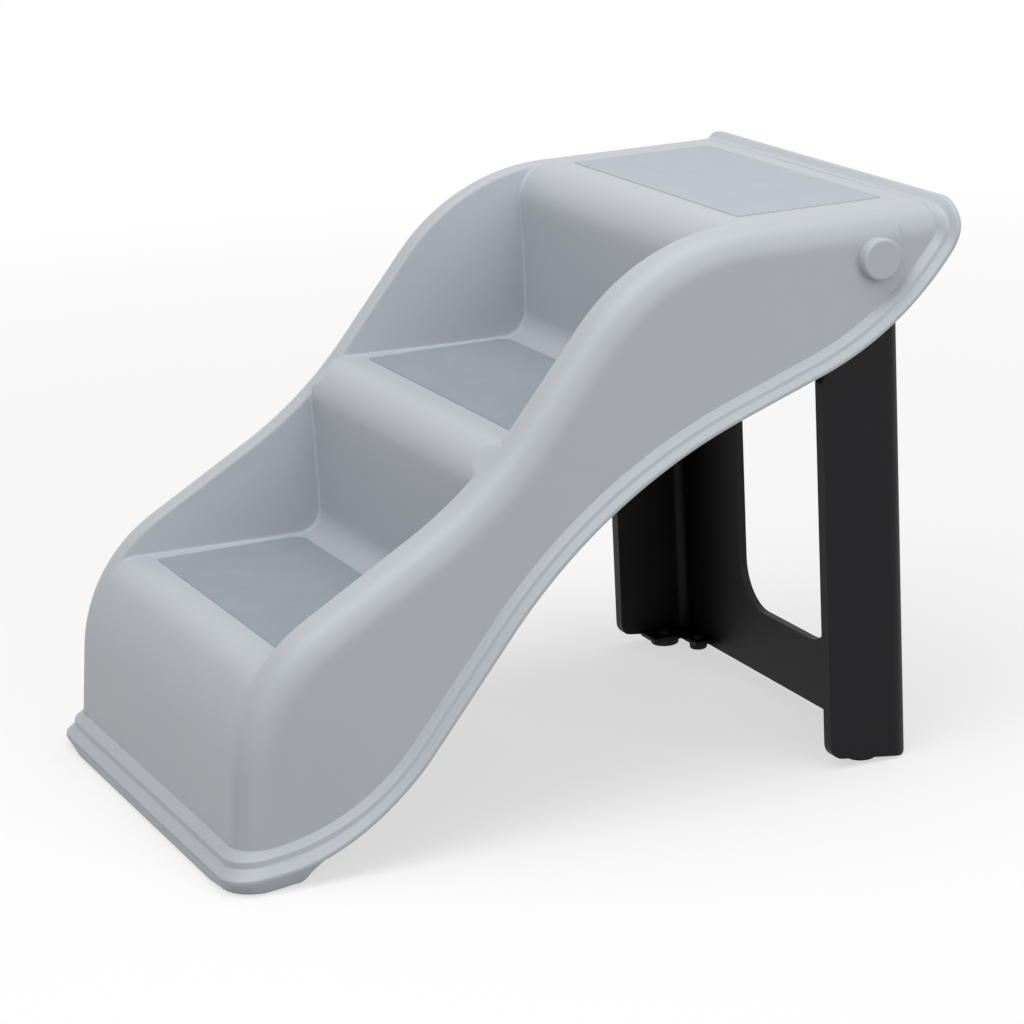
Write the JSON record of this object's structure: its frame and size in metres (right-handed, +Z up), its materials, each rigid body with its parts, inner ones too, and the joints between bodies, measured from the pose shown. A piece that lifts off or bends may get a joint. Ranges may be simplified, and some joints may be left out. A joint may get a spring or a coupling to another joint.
{
  "type": "folding pet stairs",
  "caption": "Moulded pet stairs with rounded side walls, tread mats and a folding rear leg on side pivots.",
  "frame": {"origin": "on the floor, at the centre of the stairs' length and width", "axes": "+X from the low front end to the high back end, +Y to the left when walking up, +Z up"},
  "size_m": [0.613, 0.418, 0.4375],
  "materials": {
    "shell": "light grey moulded plastic with a soft sheen",
    "mat_lower": "soft grey tread mat with a fine grain",
    "mat_top": "soft light grey tread mat with a fine grain",
    "leg": "black moulded plastic, slightly satin",
    "rubber_black": "black rubber",
    "bush": "white bearing plastic",
    "steel": "zinc plated steel"
  },
  "bodies": {
    "shell": {"body_shell": "shell", "tread_mat_lower": "mat_lower", "tread_mat_middle": "mat_lower", "tread_mat_top": "mat_top", "front_pad_left": "rubber_black", "front_pad_right": "rubber_black", "pivot_pin_left": "shell", "pivot_pin_right": "shell", "thrust_washer_left": "bush", "thrust_washer_right": "bush", "retaining_washer_left": "steel", "retaining_washer_right": "steel", "retaining_screw_left": "steel", "retaining_screw_right": "steel"},
    "leg": {"leg_frame": "leg", "pivot_bush_left": "bush", "pivot_bush_right": "bush", "leg_foot_left": "rubber_black", "leg_foot_right": "rubber_black", "leg_stud_left": "rubber_black", "leg_stud_right": "rubber_black"}
  },
  "joints": [
    {"name": "leg_fold", "type": "hinge", "parent": "shell", "child": "leg", "pos_m": [0.2395, 0, 0.4], "axis": [0, 1, 0], "range_deg": [0, 50]}
  ]
}
